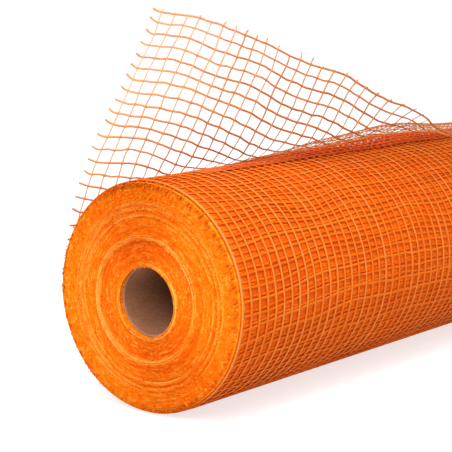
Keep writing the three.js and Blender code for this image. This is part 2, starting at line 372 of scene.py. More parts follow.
def body_material():
    """The turns under the ones that are modelled: the same open mesh again and again, so stacked yarns with gaps
    between, the gaps painted darker as painted shade.
    """
    m, nt, b, out = new_mat("turns_below")
    co = obj_coord(nt)
    sep, z, r = radius_of(nt, co)
    ang = math_node(nt, "ARCTAN2", z, sep.outputs[1])
    wob = noise(nt, co, 14.0, 2, 0.5)
    x = math_node(nt, "ADD", math_node(nt, "DIVIDE", math_node(nt, "ADD", sep.outputs[0], SELVAGE), CELL), math_node(nt, "MULTIPLY", wob, 0.06))
    fx = math_node(nt, "ABSOLUTE", math_node(nt, "SUBTRACT", math_node(nt, "FRACT", math_node(nt, "ADD", x, 0.5)), 0.5))
    warp = math_node(nt, "SMOOTH_MIN", 1.0, math_node(nt, "DIVIDE", fx, 0.085), 0.3)
    layers = None
    for k, (off, sc) in enumerate(((0.13, 18.0), (0.47, 11.0), (0.78, 15.0))):
        wv = noise(nt, mapping(nt, co, (1, 1, 1), (k * 3.1, 0, k)), sc, 2, 0.5)
        s = math_node(nt, "ADD", math_node(nt, "MULTIPLY", ang, (0.0868 - k * TURN) / CELL), math_node(nt, "MULTIPLY", wv, 1.6))
        fs = math_node(nt, "ABSOLUTE", math_node(nt, "SUBTRACT", math_node(nt, "FRACT", math_node(nt, "ADD", s, off)), 0.5))
        line = math_node(nt, "SMOOTH_MIN", 1.0, math_node(nt, "DIVIDE", fs, 0.07), 0.3)
        layers = line if layers is None else math_node(nt, "MULTIPLY", layers, line)
    depth = math_node(nt, "MULTIPLY", layers, warp)
    # from the yarn tops (0) to the gaps between them (1) the colour darkens and reddens: painted shade in the gaps
    col = ramp(nt, depth, [(0.0, lin(240, 108, 6, K)), (0.5, lin(228, 94, 4, K)), (1.0, lin(212, 80, 2, K))])
    nt.links.new(col, b.inputs["Base Color"])
    b.inputs["Roughness"].default_value = 0.7
    b.inputs["Specular IOR Level"].default_value = 0.05
    bump(nt, b, math_node(nt, "SUBTRACT", 1.0, depth), 0.25, 0.0002)
    return m


MAT_BODY = body_material()


def board_material():
    """Brown wound paper board: fine fibres, a spiral seam, and darker and lighter patches."""
    m, nt, b, out = new_mat("core_board")
    co = obj_coord(nt)
    sep, z, r = radius_of(nt, co)
    ang = math_node(nt, "ARCTAN2", z, sep.outputs[1])
    fib = noise(nt, mapping(nt, co, (2.0, 9.0, 9.0)), 180.0, 4, 0.65)
    patch = noise(nt, co, 26.0, 3, 0.5)
    col = ramp(nt, math_node(nt, "ADD", math_node(nt, "MULTIPLY", fib, 0.55), math_node(nt, "MULTIPLY", patch, 0.45)),
               [(0.22, lin(102, 62, 38)), (0.5, lin(144, 98, 70)), (0.8, lin(184, 140, 110))])
    turn = math_node(nt, "FRACT", math_node(nt, "SUBTRACT", math_node(nt, "DIVIDE", sep.outputs[0], 0.11), math_node(nt, "ADD", math_node(nt, "DIVIDE", ang, 2 * math.pi), -0.16)))
    seam = math_node(nt, "LESS_THAN", math_node(nt, "ABSOLUTE", math_node(nt, "SUBTRACT", turn, 0.5)), 0.006)
    col = mix_col(nt, math_node(nt, "MULTIPLY", seam, 0.55), col, lin(70, 46, 34))
    edge = math_node(nt, "GREATER_THAN", math_node(nt, "ABSOLUTE", sep.outputs[0]), 0.49495)
    col = mix_col(nt, math_node(nt, "MULTIPLY", edge, 0.4), col, lin(180, 134, 104))
    nt.links.new(col, b.inputs["Base Color"])
    b.inputs["Roughness"].default_value = 0.85
    b.inputs["Specular IOR Level"].default_value = 0.25
    bump(nt, b, math_node(nt, "SUBTRACT", fib, math_node(nt, "MULTIPLY", seam, 0.8)), 0.35, 0.0004)
    return m


MAT_BOARD = board_material()
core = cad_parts["core_tube"]
for s in core.material_slots:
    s.material = MAT_BOARD
if not core.material_slots:
    core.data.materials.append(MAT_BOARD)


# ------------------------------------------------------------------ the end's rings
RING_R = np.array([0.0, .0268, .0300, .0312, .0340, .0358, .0372, .0450, .0464, .0508, .0522, .0608, .0618, .0630, .0640, .0662, .0672, .0690, .0700, .0712, .0722, .0740, .0820, .0892])
RING_D = np.array([-1.0, -1.0, -0.2, 0.8, 0.8, 0.5, 1.6, 1.6, -0.8, -0.8, 0.5, 0.5, 1.1, 1.1, 0.1, 0.2, 0.8, 0.8, 0.1, 0.1, 0.8, 0.3, 0.5, 0.6]) / 1000


def set_in(r):
    return np.interp(r, RING_R, RING_D)


def centre(r):
    """How far the turns of a radius lie below the axis and to its +Y side: the roll has settled on its core."""
    t = np.clip(1 - (r - 0.0272) / (FACE_R - 0.0272), 0, 1)
    return 0.0003 + 0.0028 * t, 0.0012 * np.exp(-((r - 0.0485) / 0.006) ** 2)


def drawn_in(x, r):
    """The outer turns draw in over the last few millimetres at each end."""
    d = np.clip((np.abs(x) - 0.4935) / 0.0065, 0, 1.15)
    t = np.clip((r / FACE_R - 0.6) / 0.4, 0, 1)
    return r - 0.0026 * d ** 1.3 * t


def place(x, r, th):
    low, side = centre(r)
    r = drawn_in(x, r)
    return np.stack([x, side + r * np.cos(th), AXIS_Z - low + r * np.sin(th)], -1)


def end_faces(sign, name, seed, per_turn, tip_points):
    """One cut end: the edge yarn of every turn as a spiral, and the short ends of the cross yarns past it."""
    rng = np.random.default_rng(seed)
    bt = Batch()
    r_in = 0.0268
    turns = int((R_OUT + 0.0002 - r_in) / TURN)
    th = np.arange(turns * per_turn + 1) * 2 * np.pi / per_turn
    r = r_in + TURN * th / (2 * np.pi)
    per = rng.normal(0, 0.22e-3, turns + 2)
    step = np.interp(th / (2 * np.pi), np.arange(turns + 2), per)
    sway = 0.18e-3 * np.sin(3 * th + 2.0 * np.sin(th * 0.13)) + 0.15e-3 * np.sin(7.0 * th + th * 0.01)
    x = sign * (0.4982 - set_in(r) + step + sway)
    P = place(x, r, th)
    N = np.stack([0 * th, np.cos(th), np.sin(th)], -1)
    tone = 0.5 + 0.5 * np.interp(th / (2 * np.pi), np.arange(turns + 2), rng.uniform(-0.5, 1.0, turns + 2)) + rng.normal(0, 0.08, len(th))
    # turns at these radii get a tone above 1 in patches along the ring: paler edge yarns there, with painted highlight
    # on top
    shine = waves(rng, 1.0, 0.16, 0.05, 5)(th * 0.03, r)
    for at, wide in ((0.326, 0.004), (0.527, 0.003), (0.541, 0.003), (0.556, 0.003), (0.713, 0.003), (0.765, 0.0025), (0.812, 0.003)):
        tone = tone + 1.1 * (np.abs(r / FACE_R - at) < wide) * np.clip(0.6 + 0.7 * shine, 0, 1)
    edge = np.clip((r / FACE_R - 0.93) / 0.05, 0, 1)
    P[:, 0] -= sign * 0.0010 * edge
    bt.strands(P[None], N[None], (0.0007 + 0.0013 * edge)[None], 0.00022, 4, tone=tone[None])
    spiral = bt.make(name + "_edge_yarns", MAT_END)
    bt = Batch()
    th_t, r_t = [], []
    t_ = 0.0
    while True:
        r0 = r_in + TURN * t_ / (2 * np.pi)
        if r0 > R_OUT - 0.0003:
            break
        th_t.append(t_)
        r_t.append(r0)
        t_ += CELL / r0
    th = np.array(th_t) + rng.normal(0, 0.0012, len(th_t)) / np.array(r_t)
    r = np.array(r_t)
    n = len(r)
    outer = np.clip((r / FACE_R - 0.78) / 0.22, 0, 1)
    inner = np.clip((0.029 - r) / 0.002, 0, 1)
    length = 0.0019 + rng.normal(0, 0.0005, n) + 0.0002 * outer - 0.0012 * inner
    lean_r = -0.0003 + rng.normal(0, 0.0006, n) - 0.0002 * outer - 0.0002 * inner
    lean_r = lean_r + (rng.random(n) < 0.45) * np.clip((r - 0.0865) / 0.001, 0, 1) * np.clip(1.5 * np.cos(th) + 0.4, 0, 1) * rng.uniform(0.0016, 0.0030, n)
    lean_t = rng.normal(0, 0.0010 + 0.0003 * outer, n)
    k = np.linspace(0, 1, tip_points)
    base = 0.4974 - set_in(r) + np.interp(th / (2 * np.pi), np.arange(turns + 2), per)
    bend = k[None] ** 1.4
    X = sign * (base[:, None] + length[:, None] * k[None])
    RR = r[:, None] + lean_r[:, None] * bend
    TH = th[:, None] + lean_t[:, None] * bend / r[:, None]
    P = place(X, RR, TH)
    N = np.stack([0 * TH, np.cos(TH), np.sin(TH)], -1)
    w = 0.0006 * (1 - 0.35 * k[None] ** 2) * rng.uniform(0.8, 1.3, (n, 1))
    bt.strands(P, N, w, 0.00026 * (1 - 0.3 * k[None]) * np.ones((n, 1)), 4, tone=rng.uniform(0.1, 1.0, n))
    tips = bt.make(name + "_cut_yarns", MAT_END)


end_faces(-1, "near_end", 5, 96, 3)
end_faces(1, "far_end", 6, 48, 2)


# ------------------------------------------------------------------ wound turns under the outer ones
def lathe():
    seg = 144
    h = 0.4976
    R_B = 0.0879
    rs = np.concatenate([np.linspace(0.0276, 0.084, 56), [0.0865]])
    prof = [(-(h - set_in(r)), r) for r in rs] + [(-(h - 0.006), R_B), (h - 0.006, R_B)] + [(h - set_in(r), r) for r in rs[::-1]]
    prof = np.array(prof)
    a = np.arange(seg) * 2 * np.pi / seg
    X = np.broadcast_to(prof[:, 0], (seg, len(prof)))
    R = np.broadcast_to(prof[:, 1], (seg, len(prof)))
    V = place(X, R, np.broadcast_to(a[:, None], X.shape))
    mid = np.abs(np.abs(prof[:, 0]) - (h - 0.006)) < 1e-9
    V[:, mid, 1] = R[:, mid] * np.cos(a)[:, None]
    V[:, mid, 2] = AXIS_Z + R[:, mid] * np.sin(a)[:, None]
    n = len(prof)
    idx = np.arange(seg * n).reshape(seg, n)
    i, j = idx, np.roll(idx, -1, 1)
    i2, j2 = np.roll(idx, -1, 0), np.roll(np.roll(idx, -1, 0), -1, 1)
    quads = np.stack([i, i2, j2, j], -1)
    side = len(rs) - 1
    keep = np.ones(n, bool)
    keep[side + 1] = False
    bt = Batch()
    V = V.reshape(-1, 3)
    bt.add(V, quads[:, keep].reshape(-1, 4), mat=0)
    bt.q.append(quads[:, ~keep].reshape(-1, 4))
    bt.uvq.append(np.zeros((seg, 4, 2)))
    bt.mq.append(np.ones(seg, int))
    return bt.make("wound_turns", MAT_END, MAT_BODY, smooth=False)


body = lathe()
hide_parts("mesh_roll")


# ------------------------------------------------------------------ outer turns, yarn by yarn
def stack_shift(x, th):
    """How far, in cells, each turn's cross yarns lie from those of the turn above it, from place to place."""
    a = np.mod(th, 2 * np.pi)
    base = np.interp(a, np.radians([0, 60, 95, 118, 150, 172, 188, 204, 262, 300, 360]), [0.16, 0.20, 0.17, 0.12, 0.14, 0.19, 0.12, 0.03, 0.03, 0.10, 0.16])
    return base + 0.04 * np.clip(x + 0.3, 0, 0.6) / 0.6 + 0.03 * np.sin(9.0 * x + 2.0 * a) + 0.03 * np.sin(23.0 * x - 3.0 * a + 1.0)


def layer_wefts(bt, k, step, seed, w=0.00115, thick=0.00021, mat=0):
    rng = np.random.default_rng(seed)
    common = np.random.default_rng(9)
    r0 = R_OUT - k * TURN
    n = int(round(2 * math.pi * r0 / CELL))
    pitch = 2 * math.pi / n
    xs = np.concatenate([[-0.5004, -0.4978], np.arange(-SELVAGE, SELVAGE + 1e-6, step), [0.4978, 0.5004]])
    m = np.arange(n)
    X, TH0 = np.meshgrid(xs, m * pitch)
    S = TH0 * r0
    cslow = waves(common, 0.0022, 0.50, 0.28)
    cmid = waves(common, 0.0010, 0.16, 0.11)
    own = waves(rng, 0.0007, 0.12, 0.10)
    jit = waves(rng, 0.00030, 0.045, 0.013, 8)
    d = cslow(X, S) + cmid(X, S) + own(X, S) + jit(X, S) + rng.normal(0, 0.00035, (n, 1))
    d = d + k * CELL * stack_shift(X, TH0)
    tipmask = np.clip((np.abs(X) - SELVAGE) / 0.005, 0, 1.1)
    d = d + tipmask * rng.normal(0, 0.0012, (n, 1)) * np.sign(X)
    th = TH0 + d / r0
    cross = np.cos(np.pi * (np.round((X + SELVAGE) / CELL) + m[:, None]))
    rr = r0 - 0.00004 + 0.00007 * cross - tipmask * np.abs(rng.normal(0, 0.0006, (n, 1)))
    Xl = X + np.sign(X) * tipmask * rng.normal(0, 0.0006, (n, 1))
    rr = drawn_in(Xl, rr)
    P = np.stack([Xl, rr * np.cos(th), AXIS_Z + rr * np.sin(th)], -1)
    N = np.stack([0 * th, np.cos(th), np.sin(th)], -1)
    bt.strands(P, N, w * rng.uniform(0.85, 1.2, (n, 1)) * (1 - 0.3 * np.clip(tipmask, 0, 1)), thick, 4, tone=rng.uniform(0.3, 0.7, n), mat=mat)


def layer_warps(bt, k, seg, seed, w=0.00125, sway=0.0003, mat=0):
    rng = np.random.default_rng(seed)
    r0 = R_OUT - k * TURN + 0.00016
    i = np.arange(100)
    th = np.arange(seg) * 2 * np.pi / seg
    X0 = -SELVAGE + i * CELL
    TH, XX = np.meshgrid(th, X0)
    f1 = waves(rng, sway, 0.20, 0.30)
    f2 = waves(rng, sway * 0.6, 0.05, 0.12)
    per = np.cos(TH * 0.5) ** 2
    dx = f1(XX, TH * r0) * (1 - per) + f1(XX, (TH - 2 * np.pi) * r0) * per
    dx = dx + f2(XX, TH * r0) * (1 - per) + f2(XX, (TH - 2 * np.pi) * r0) * per
    dx = dx + (rng.normal(0, 0.0006, (100, 1)) if k else 0)
    inner = np.clip(np.minimum(i, 99 - i) / 2.0, 0.25, 1)[:, None]
    Xp = XX + dx * inner
    rr = drawn_in(Xp, r0 + 0 * TH)
    P = np.stack([Xp, rr * np.cos(TH), AXIS_Z + rr * np.sin(TH)], -1)
    N = np.stack([0 * TH, np.cos(TH), np.sin(TH)], -1)
    tone = rng.uniform(0.4, 0.7, 100)
    # the first and last yarn get a paler tone along their whole length: painted highlight
    tone[[0, 99]] = 0.8
    bt.strands(P, N, w * rng.uniform(0.9, 1.15, (100, 1)), 0.00020, 4, closed=True, tone=tone, mat=mat)


bt = Batch()
layer_warps(bt, 0, 168, 31)
o1 = bt.make("outer_turn_yarns_along", MAT_WARP)
bt = Batch()
layer_warps(bt, 1, 96, 32, sway=0.0005)
layer_warps(bt, 2, 96, 33, sway=0.0006)
o2 = bt.make("lower_turn_yarns_along", MAT_DEEP)
bt = Batch()
layer_wefts(bt, 0, 0.01, 41)
layer_wefts(bt, 1, 0.01, 42)
o3 = bt.make("outer_turn_yarns_across", MAT_WEFT)
bt = Batch()
layer_wefts(bt, 2, 0.0198, 43)
o4 = bt.make("lower_turn_yarns_across", MAT_DEEP)


# ------------------------------------------------------------------ the loose last turn and its free end
NET = np.array([
    [(9275, 8107, 23186), (8697, 8095, 21752), (8107, 8052, 20310), (7233, 8239, 18684), (6212, 8346, 17115), (4985, 8314, 15468), (3483, 8276, 14011), (1966, 8246, 12315), (848, 8203, 10311), (-41, 8328, 8467), (-745, 8443, 6605), (-1164, 8471, 4653), (-1586, 8764, 2368), (-1825, 9052, 166), (-1970, 9267, -1927)],
    [(10439, 6118, 22682), (9272, 6290, 20948), (8373, 6190, 19402), (7313, 6442, 17598), (6262, 6493, 16058), (5159, 6558, 14342), (4137, 6658, 12835), (3284, 6726, 11357), (2496, 7092, 9517), (1857, 7471, 8050), (1407, 7749, 6150), (1088, 8187, 4337), (613, 8844, 2105), (463, 9112, 64), (436, 9155, -1795)],
    [(11648, 4162, 22216), (10358, 4084, 20834), (9251, 3959, 19412), (8103, 4213, 17647), (7046, 4139, 16314), (6008, 4290, 14680), (5451, 4653, 12922), (5080, 5172, 11489), (4449, 5890, 9687), (4166, 6102, 7537), (3757, 6941, 5610), (3242, 8171, 4006), (2887, 8888, 2035), (2755, 9102, 41), (2782, 9082, -1732)],
    [(12934, 2423, 21521), (11641, 2246, 20006), (10555, 2086, 18538), (9438, 2204, 16920), (8373, 2075, 15498), (7415, 2332, 13871), (7111, 2990, 12256), (6954, 3825, 10719), (6623, 4554, 8888), (6444, 5462, 7251), (5870, 7076, 5696), (5480, 8235, 4032), (5176, 8879, 2042), (5036, 9099, 31), (5077, 9071, -1733)],
    [(14452, 932, 20780), (13119, 917, 19201), (12075, 763, 17671), (10935, 878, 16071), (9884, 910, 14706), (9103, 1242, 13011), (8969, 1870, 11237), (8886, 2894, 9820), (8759, 3981, 7795), (8520, 5703, 7075), (8059, 7171, 5667), (7747, 8204, 3948), (7452, 8891, 2014), (7323, 9100, 26), (7360, 9075, -1747)],
    [(15908, -62, 20099), (14814, -339, 18619), (13790, -592, 17107), (12653, -424, 15563), (11844, -353, 14034), (11211, 176, 12339), (10934, 1092, 10674), (11200, 2081, 9005), (11122, 3848, 8100), (10609, 5845, 7196), (10277, 7169, 5601), (10009, 8241, 3893), (9731, 8902, 1993), (9611, 9091, 22), (9643, 9076, -1759)],
    [(17400, -1145, 18884), (16507, -1704, 17274), (15339, -1804, 15831), (14266, -1560, 14207), (13703, -1322, 12672), (13108, -463, 11066), (13094, 393, 9092), (13276, 2286, 8542), (13063, 4365, 8231), (12772, 5930, 7051), (12515, 7241, 5556), (12271, 8264, 3855), (12013, 8900, 1969), (11899, 9093, 19), (11928, 9078, -1767)],
    [(19191, -2917, 17933), (18126, -2909, 16451), (17027, -2871, 15013), (16146, -2600, 13373), (15649, -2012, 11880), (15409, -1119, 10190), (15252, 581, 8955), (15400, 2569, 9093), (15215, 4386, 8173), (14986, 5958, 6979), (14753, 7305, 5545), (14536, 8278, 3825), (14295, 8903, 1953), (14185, 9094, 16), (14213, 9080, -1771)],
    [(20912, -5025, 17247), (19946, -4462, 16171), (18938, -3995, 14611), (18213, -3621, 13022), (17849, -2924, 11355), (17900, -1864, 9548), (17576, 463, 9341), (17511, 2535, 9091), (17386, 4355, 8150), (17202, 5966, 7015), (17001, 7298, 5538), (16804, 8282, 3813), (16576, 8908, 1945), (16472, 9093, 13), (16498, 9082, -1770)],
    [(22101, -6778, 15834), (21205, -5600, 14693), (20582, -5017, 13316), (20106, -4466, 11619), (20012, -3367, 10011), (19918, -1315, 9529), (19796, 708, 9517), (19702, 2644, 9126), (19584, 4448, 8273), (19429, 6001, 7049), (19254, 7295, 5526), (19071, 8293, 3811), (18856, 8910, 1938), (18760, 9094, 8), (18783, 9084, -1768)],
    [(23674, -8928, 14483), (22818, -7245, 13680), (22514, -6286, 12147), (22320, -5067, 10733), (22161, -3088, 9969), (22105, -1048, 9885), (22015, 900, 9773), (21905, 2826, 9291), (21794, 4568, 8363), (21664, 6060, 7059), (21507, 7332, 5523), (21336, 8308, 3803), (21136, 8913, 1929), (21047, 9095, 4), (21069, 9084, -1764)],
    [(25361, -10142, 13311), (24962, -8615, 12635), (24784, -7024, 11564), (24516, -5001, 10619), (24358, -2897, 10270), (24296, -899, 10166), (24215, 1101, 10038), (24120, 3001, 9450), (24022, 4686, 8400), (23905, 6155, 7068), (23761, 7391, 5512), (23602, 8329, 3779), (23416, 8920, 1910), (23334, 9095, -5), (23355, 9081, -1763)],
    [(27266, -10286, 12162), (27113, -8556, 11538), (26907, -6656, 10943), (26662, -4596, 10532), (26558, -2606, 10390), (26500, -623, 10319), (26429, 1340, 10110), (26346, 3189, 9463), (26257, 4827, 8377), (26151, 6249, 7022), (26019, 7443, 5457), (25870, 8355, 3731), (25696, 8927, 1882), (25621, 9094, -13), (25641, 9080, -1766)],
    [(29338, -9906, 11167), (29175, -7930, 10893), (28978, -6035, 10661), (28841, -4141, 10559), (28762, -2223, 10575), (28704, -295, 10508), (28645, 1601, 10150), (28576, 3387, 9410), (28497, 4978, 8309), (28400, 6351, 6947), (28279, 7499, 5383), (28140, 8378, 3668), (27976, 8932, 1849), (27908, 9093, -20), (27927, 9082, -1773)],
    [(31450, -9443, 10268), (31321, -7526, 10398), (31169, -5651, 10522), (31052, -3767, 10671), (30973, -1880, 10786), (30919, 12, 10681), (30869, 1861, 10210), (30811, 3589, 9387), (30743, 5136, 8265), (30656, 6470, 6900), (30546, 7573, 5333), (30414, 8407, 3619), (30257, 8933, 1824), (30195, 9092, -22), (30213, 9085, -1783)],
    [(33530, -8994, 9403), (33447, -7161, 9850), (33351, -5328, 10284), (33263, -3484, 10663), (33194, -1617, 10874), (33141, 265, 10769), (33093, 2091, 10266), (33044, 3785, 9410), (32986, 5295, 8268), (32909, 6592, 6889), (32810, 7652, 5315), (32687, 8443, 3599), (32539, 8938, 1811), (32482, 9088, -23), (32499, 9089, -1792)],
    [(35577, -8581, 8561), (35546, -6830, 9248), (35509, -5078, 9922), (35460, -3295, 10495), (35407, -1445, 10813), (35357, 434, 10753), (35312, 2251, 10269), (35269, 3926, 9413), (35219, 5410, 8260), (35153, 6677, 6875), (35066, 7709, 5300), (34955, 8473, 3589), (34820, 8942, 1803), (34770, 9084, -24), (34785, 9092, -1798)],
    [(37618, -8229, 7750), (37634, -6576, 8615), (37646, -4918, 9465), (37633, -3201, 10193), (37599, -1380, 10620), (37560, 492, 10631), (37521, 2308, 10188), (37484, 3978, 9352), (37442, 5453, 8209), (37387, 6710, 6833), (37313, 7734, 5273), (37216, 8488, 3575), (37099, 8945, 1794), (37058, 9081, -25), (37071, 9094, -1803)],
    [(39680, -7951, 6993), (39729, -6397, 8007), (39770, -4831, 8987), (39778, -3181, 9828), (39763, -1399, 10347), (39736, 456, 10430), (39708, 2270, 10039), (39680, 3946, 9242), (39649, 5428, 8129), (39606, 6694, 6778), (39548, 7730, 5241), (39471, 8493, 3561), (39378, 8948, 1784), (39346, 9079, -27), (39357, 9095, -1809)],
    [(41789, -7754, 6316), (41849, -6304, 7474), (41905, -4828, 8587), (41924, -3233, 9521), (41919, -1476, 10109), (41903, 375, 10243), (41885, 2195, 9890), (41866, 3882, 9121), (41845, 5376, 8033), (41815, 6657, 6705), (41774, 7712, 5194), (41720, 8491, 3535), (41657, 8953, 1770), (41635, 9079, -29), (41643, 9093, -1816)],
    [(43956, -7646, 5766), (43973, -6349, 7010), (43998, -5013, 8291), (44008, -3446, 9363), (44009, -1637, 10041), (44005, 300, 10206), (44000, 2200, 9823), (43993, 3924, 8993), (43986, 5414, 7861), (43977, 6671, 6531), (43965, 7701, 5056), (43950, 8473, 3452), (43933, 8952, 1744), (43926, 9082, -30), (43929, 9092, -1823)],
    [(46200, -7622, 5468), (46210, -6411, 6827), (46215, -5125, 8168), (46215, -3554, 9253), (46216, -1733, 9953), (46216, 225, 10138), (46216, 2149, 9766), (46215, 3891, 8941), (46215, 5391, 7813), (46215, 6651, 6493), (46215, 7682, 5032), (46215, 8457, 3441), (46215, 8948, 1747), (46214, 9084, -28), (46214, 9091, -1829)],
    [(48483, -7657, 5345), (48501, -6458, 6749), (48507, -5157, 8062), (48507, -3586, 9118), (48508, -1790, 9809), (48507, 140, 10011), (48507, 2047, 9683), (48506, 3795, 8910), (48505, 5316, 7824), (48504, 6604, 6525), (48503, 7660, 5066), (48502, 8450, 3466), (48501, 8947, 1758), (48500, 9084, -26), (48500, 9090, -1832)],
    [(50770, -7715, 5254), (50782, -6510, 6640), (50786, -5210, 7945), (50786, -3645, 8999), (50786, -1857, 9691), (50786, 64, 9908), (50786, 1969, 9610), (50786, 3725, 8871), (50786, 5263, 7812), (50786, 6569, 6530), (50786, 7639, 5078), (50786, 8440, 3479), (50786, 8944, 1766), (50786, 9084, -22), (50786, 9090, -1832)],
    [(53057, -7782, 5145), (53069, -6564, 6523), (53074, -5262, 7826), (53074, -3699, 8864), (53074, -1925, 9550), (53074, -22, 9783), (53074, 1874, 9522), (53073, 3637, 8828), (53073, 5194, 7806), (53073, 6524, 6546), (53072, 7615, 5100), (53072, 8429, 3498), (53072, 8942, 1777), (53072, 9084, -18), (53072, 9090, -1832)],
    [(55342, -7859, 5004), (55353, -6642, 6367), (55358, -5337, 7661), (55358, -3777, 8683), (55358, -2018, 9361), (55358, -137, 9612), (55358, 1748, 9398), (55358, 3519, 8762), (55358, 5102, 7790), (55358, 6463, 6561), (55358, 7581, 5126), (55358, 8414, 3521), (55357, 8938, 1791), (55358, 9084, -13), (55358, 9088, -1833)],
    [(57628, -7939, 4850), (57638, -6719, 6220), (57644, -5412, 7509), (57643, -3853, 8516), (57643, -2106, 9185), (57643, -244, 9449), (57643, 1628, 9275), (57643, 3406, 8695), (57643, 5012, 7772), (57643, 6404, 6574), (57643, 7548, 5150), (57643, 8400, 3543), (57643, 8934, 1804), (57643, 9085, -9), (57644, 9086, -1834)],
    [(59915, -8017, 4696), (59924, -6799, 6072), (59929, -5487, 7361), (59928, -3927, 8354), (59928, -2191, 9011), (59928, -348, 9285), (59928, 1510, 9150), (59929, 3292, 8626), (59929, 4922, 7754), (59929, 6344, 6587), (59929, 7516, 5175), (59929, 8384, 3565), (59929, 8930, 1817), (59929, 9086, -4), (59929, 9084, -1835)],
    [(62205, -8089, 4575), (62211, -6883, 5918), (62214, -5575, 7205), (62213, -4008, 8180), (62213, -2282, 8821), (62213, -459, 9101), (62213, 1382, 9006), (62214, 3166, 8542), (62214, 4819, 7729), (62214, 6276, 6600), (62214, 7477, 5201), (62214, 8368, 3591), (62214, 8928, 1832), (62215, 9081, 0), (62215, 9098, -1835)],
    [(64495, -8158, 4562), (64498, -6904, 5906), (64500, -5588, 7192), (64500, -4024, 8167), (64500, -2294, 8804), (64500, -472, 9084), (64500, 1368, 8994), (64500, 3152, 8536), (64500, 4808, 7729), (64500, 6268, 6604), (64500, 7472, 5206), (64500, 8372, 3596), (64500, 8924, 1835), (64500, 9087, 4), (64500, 9164, -1828)],
    [(66785, -8255, 4629), (66785, -6923, 5960), (66785, -5537, 7199), (66786, -3987, 8184), (66786, -2272, 8836), (66786, -454, 9119), (66786, 1388, 9023), (66786, 3173, 8554), (66786, 4825, 7735), (66786, 6277, 6601), (66786, 7466, 5201), (66786, 8341, 3593), (66786, 8878, 1844), (66786, 9133, 24), (66786, 9294, -1810)],
], float) / 1000           # in cells, from the middle of the near end
U_NET, V_NET = 64.0, 22.0


def basis(t, n, total):
    s = np.asarray(t, float) / total * (n - 3)
    k = np.clip(np.floor(s).astype(int), 0, n - 4)
    w = s - k
    B = np.zeros((len(s), n))
    for a, v in enumerate(((1 - w) ** 3 / 6, (3 * w ** 3 - 6 * w ** 2 + 4) / 6, (-3 * w ** 3 + 3 * w ** 2 + 3 * w + 1) / 6, w ** 3 / 6)):
        B[np.arange(len(s)), k + a] = v
    return B


def sheet_points(u, v):
    """Points of the last turn in metres: u cells from its near edge yarn, v cells from its cut end, as two flat arrays."""
    u, v = np.asarray(u, float), np.asarray(v, float)
    vv = np.minimum(v, V_NET)
    p = np.einsum("ka,kb,abc->kc", basis(np.minimum(u, U_NET), NET.shape[0], U_NET), basis(vv, NET.shape[1], V_NET), NET) * CELL
    a = (V_NET - v) * CELL / LAID_R
    into = np.clip((v - 19.5) / 3.5, 0, 1)
    rl = LAID_R - 0.0014 * into ** 2 * (3 - 2 * into)
    laid = np.stack([(u + 0.5) * CELL, rl * np.cos(a), rl * np.sin(a)], -1)
    t = np.clip((u - U_NET + 6) / 6, 0, 1)
    t = t * t * (3 - 2 * t)
    t = np.maximum(t, (into ** 2 * (3 - 2 * into)))
    p = p * (1 - t[:, None]) + laid * t[:, None]
    r = np.hypot(p[:, 1], p[:, 2])
    low = 0.08945 + 0.0004 * (1 - into)
    f = np.maximum(low / r, 1.0)
    f = np.where(p[:, 0] > -0.003, f, 1.0)
    p = p * np.stack([1 + 0 * f, f, f], -1)
    return p + np.array([-HALF, 0, AXIS_Z])


def sheet_frame(u, v):
    e = 0.15
    p = sheet_points(u, v)
    du = sheet_points(u + e, v) - sheet_points(u - e, v)
    dv = sheet_points(u, v + e) - sheet_points(u, np.maximum(v - e, -1)) 
    return p, unit(np.cross(du, dv))


rng = np.random.default_rng(77)
V_END = 24.0


def paler(u, base, spread):
    """The yarns are palest at the sheet's near edge and a little darker far from it: painted light, standing in for the
    white surroundings shining through the thin yarns near the edge.
    """
    return np.clip(base + 0.38 * np.clip(1 - u / 9.0, 0, 1) - 0.10 * np.clip(u / 20.0 - 0.4, 0, 1) + spread, 0, 1)


wave_v = waves(rng, 0.055, 7.0, 9.0, 7)
wave_v2 = waves(rng, 0.03, 2.2, 1.3, 8)
wave_u = waves(rng, 0.04, 6.0, 7.0, 7)
wave_u2 = waves(rng, 0.02, 1.5, 2.0, 8)


def shifted(u, v):
    far = np.clip(1 - (u - 40) / 20, 0, 1)
    return u + wave_u(u, v) * far + wave_u2(u, v), v + wave_v(u, v) * far + wave_v2(u, v)


bt = Batch()
# across the sheet, with their short ends past the edge yarns
rows = np.arange(0, 24)
us = np.concatenate([[-0.84, -0.62, -0.32], np.arange(0, 99.01, 0.5), [99.25, 99.6]])
UU, VV = np.meshgrid(us, rows.astype(float))
UUe, VVe = shifted(UU, VV)
UUe = UU
tipm = np.clip(-UU / 0.84, 0, 1)
VVe = VVe + tipm * rng.normal(0, 0.09, (len(rows), 1)) - 0.10 * tipm ** 2
UUe = np.where(UU < 0, UU * rng.uniform(0.86, 1.08, (len(rows), 1)) * np.interp(VV, [17.0, 18.0, 19.0, 20.0], [1.0, 0.75, 0.42, 0.16]), UUe)
P, N = sheet_frame(UUe.ravel(), VVe.ravel())
P = P.reshape(len(rows), len(us), 3)
N = N.reshape(P.shape)
P = P + N * (0.00010 * np.cos(np.pi * (UU + VV)))[..., None]
bt.strands(P, N, 0.00078 * rng.uniform(0.88, 1.15, (len(rows), 1)), 0.00028, 4,
           tone=paler(UU, 0.45, rng.uniform(-0.12, 0.12, (len(rows), 1))), mat=0)
